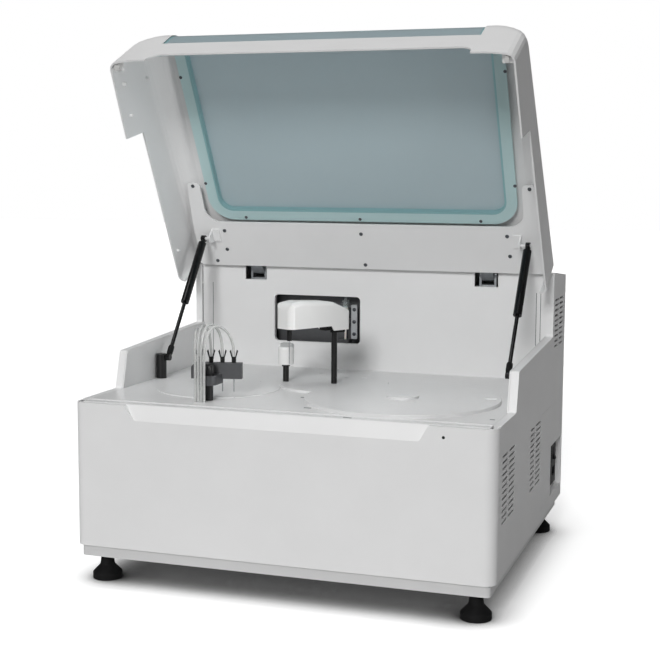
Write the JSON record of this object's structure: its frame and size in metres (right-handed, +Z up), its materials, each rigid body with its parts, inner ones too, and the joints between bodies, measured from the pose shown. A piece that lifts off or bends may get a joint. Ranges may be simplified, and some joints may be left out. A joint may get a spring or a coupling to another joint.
{
  "type": "benchtop chemistry analyzer",
  "caption": "Benchtop chemistry analyzer with a hinged lid, sampling probe, mixer, cuvette wash station and sample disc under a round cover.",
  "frame": {"origin": "middle of the footprint on the bench, under the feet", "axes": "+X to the right seen from the front, +Y to the back, +Z up; the front face looks along -Y"},
  "size_m": [0.72, 0.64, 0.9343],
  "materials": {
    "white_moulding": "satin white moulded cover",
    "white_steel": "white powder coat on sheet steel",
    "teal_window": "translucent teal polycarbonate",
    "pale_plastic": "smooth warm white moulding",
    "black_plastic": "black moulding",
    "black_metal": "black anodised or painted metal",
    "dark_block": "dark grey anodised block",
    "steel": "bare stainless steel",
    "aluminium": "machined aluminium",
    "rubber": "black rubber",
    "hose": "clear silicone tube",
    "glass": "clear glass",
    "galvanised": "zinc plated steel",
    "motor_case": "black steel case",
    "board": "green circuit board",
    "bottle_plastic": "natural polyethylene",
    "lamp": "unlit lamp lens"
  },
  "bodies": {
    "housing": {"base_tray": "white_steel", "chassis_frame": "galvanised", "front_cover": "white_moulding", "status_led": "lamp", "left_side_panel": "white_moulding", "right_side_panel": "white_moulding", "access_panel": "white_moulding", "power_module": "black_plastic", "deck_panel": "white_moulding", "rear_wall": "white_moulding", "rear_top_cover": "white_moulding", "rear_panel": "white_steel", "hinge_brackets": "steel", "hinge_pins": "steel", "strut_posts": "black_metal", "arm_towers": "aluminium", "disc_wells": "aluminium", "sample_disc_cover": "white_moulding", "disc_motors": "motor_case", "photometer": "motor_case", "main_board": "board", "power_supply": "galvanised", "fan_frame": "black_plastic", "syringe_mount": "aluminium", "syringe_barrel": "glass"},
    "lid": {"lid_shell": "white_moulding", "lid_window": "teal_window", "lid_inner_frame": "white_moulding", "lid_bumpers": "rubber", "hinge_arms": "steel", "strut_brackets": "steel"},
    "strut_cylinder_right": {"strut_cylinder_right": "black_metal"},
    "strut_rod_right": {"strut_rod_right": "steel"},
    "strut_cylinder_left": {"strut_cylinder_left": "black_metal"},
    "strut_rod_left": {"strut_rod_left": "steel"},
    "probe_lift": {"probe_carriage": "aluminium"},
    "probe_arm": {"probe_column": "black_metal", "probe_arm_base": "black_plastic", "probe_arm_cover": "pale_plastic", "probe_needle": "steel"},
    "mixer_lift": {"mixer_carriage": "aluminium"},
    "mixer_arm": {"mixer_column": "black_metal", "mixer_head": "pale_plastic"},
    "mixer_paddle": {"mixer_paddle": "steel"},
    "wash_head": {"wash_column": "black_metal", "wash_block": "dark_block", "wash_nozzles": "black_plastic", "wash_needles": "steel", "wash_hoses": "hose"},
    "sample_turntable": {"sample_disc": "aluminium", "reagent_bottles": "bottle_plastic"},
    "reaction_turntable": {"reaction_disc": "aluminium", "cuvettes": "glass"},
    "rocker_switch": {"rocker_switch": "black_plastic"},
    "fan_rotor": {"fan_rotor": "black_plastic"},
    "syringe_plunger": {"syringe_plunger": "bottle_plastic"},
    "foot_front_left": {"foot_front_left": "rubber"},
    "foot_front_right": {"foot_front_right": "rubber"},
    "foot_rear_left": {"foot_rear_left": "rubber"},
    "foot_rear_right": {"foot_rear_right": "rubber"}
  },
  "joints": [
    {"name": "lid_hinge", "type": "hinge", "parent": "housing", "child": "lid", "pos_m": [0, 0.2068, 0.4998], "axis": [1, 0, 0], "range_deg": [0, 62.9]},
    {"name": "strut_pivot_right", "type": "hinge", "parent": "lid", "child": "strut_cylinder_right", "pos_m": [0.3194, 0.12821, 0.56383], "axis": [1, 0, 0], "range_deg": [-79.7, 0]},
    {"name": "strut_slide_right", "type": "slide", "parent": "strut_cylinder_right", "child": "strut_rod_right", "axis": [0, 0.6101, 0.7923], "range_m": [0, 0.0843]},
    {"name": "strut_pivot_left", "type": "hinge", "parent": "lid", "child": "strut_cylinder_left", "pos_m": [-0.3194, 0.12821, 0.56383], "axis": [1, 0, 0], "range_deg": [-79.7, 0]},
    {"name": "strut_slide_left", "type": "slide", "parent": "strut_cylinder_left", "child": "strut_rod_left", "axis": [0, 0.6101, 0.7923], "range_m": [0, 0.0843]},
    {"name": "probe_lift", "type": "slide", "parent": "housing", "child": "probe_lift", "axis": [0, 0, 1], "range_m": [-0.04, 0]},
    {"name": "probe_swing", "type": "hinge", "parent": "probe_lift", "child": "probe_arm", "pos_m": [-0.0035, -0.0077, 0.42], "axis": [0, 0, 1], "range_deg": [0, 150]},
    {"name": "mixer_lift", "type": "slide", "parent": "housing", "child": "mixer_lift", "axis": [0, 0, 1], "range_m": [-0.015, 0]},
    {"name": "mixer_swing", "type": "hinge", "parent": "mixer_lift", "child": "mixer_arm", "pos_m": [-0.0933, -0.0159, 0.347], "axis": [0, 0, 1], "range_deg": [0, 69.6]},
    {"name": "paddle_spin", "type": "hinge", "parent": "mixer_arm", "child": "mixer_paddle", "pos_m": [-0.10983, 0.03129, 0.35], "axis": [0, 0, 1], "continuous": true},
    {"name": "wash_lift", "type": "slide", "parent": "housing", "child": "wash_head", "axis": [0, 0, 1], "range_m": [-0.022, 0]},
    {"name": "sample_disc_turn", "type": "hinge", "parent": "housing", "child": "sample_turntable", "pos_m": [0.155, -0.1155, 0.24], "axis": [0, 0, 1], "continuous": true},
    {"name": "reaction_disc_turn", "type": "hinge", "parent": "housing", "child": "reaction_turntable", "pos_m": [-0.187, -0.106, 0.266], "axis": [0, 0, 1], "continuous": true},
    {"name": "rocker_switch", "type": "hinge", "parent": "housing", "child": "rocker_switch", "pos_m": [0.3515, 0.277, 0.155], "axis": [0, 1, 0], "range_deg": [0, 20]},
    {"name": "fan_spin", "type": "hinge", "parent": "housing", "child": "fan_rotor", "pos_m": [-0.2, 0.305, 0.15], "axis": [0, 1, 0], "continuous": true},
    {"name": "syringe_stroke", "type": "slide", "parent": "housing", "child": "syringe_plunger", "axis": [0, 0, 1], "range_m": [-0.01, 0.008]},
    {"name": "foot_front_left_turn", "type": "hinge", "parent": "housing", "child": "foot_front_left", "pos_m": [-0.323, -0.276, 0.0466], "axis": [0, 0, 1], "continuous": true},
    {"name": "foot_front_right_turn", "type": "hinge", "parent": "housing", "child": "foot_front_right", "pos_m": [0.323, -0.276, 0.0466], "axis": [0, 0, 1], "continuous": true},
    {"name": "foot_rear_left_turn", "type": "hinge", "parent": "housing", "child": "foot_rear_left", "pos_m": [-0.323, 0.276, 0.0466], "axis": [0, 0, 1], "continuous": true},
    {"name": "foot_rear_right_turn", "type": "hinge", "parent": "housing", "child": "foot_rear_right", "pos_m": [0.323, 0.276, 0.0466], "axis": [0, 0, 1], "continuous": true}
  ],
  "couplings": [
    {"joint": "strut_pivot_right", "follows": "lid_hinge", "ratio": -1.2639},
    {"joint": "strut_slide_right", "follows": "lid_hinge", "m_per_rad": 0.076546},
    {"joint": "strut_pivot_left", "follows": "lid_hinge", "ratio": -1.2639},
    {"joint": "strut_slide_left", "follows": "lid_hinge", "m_per_rad": 0.076546}
  ]
}
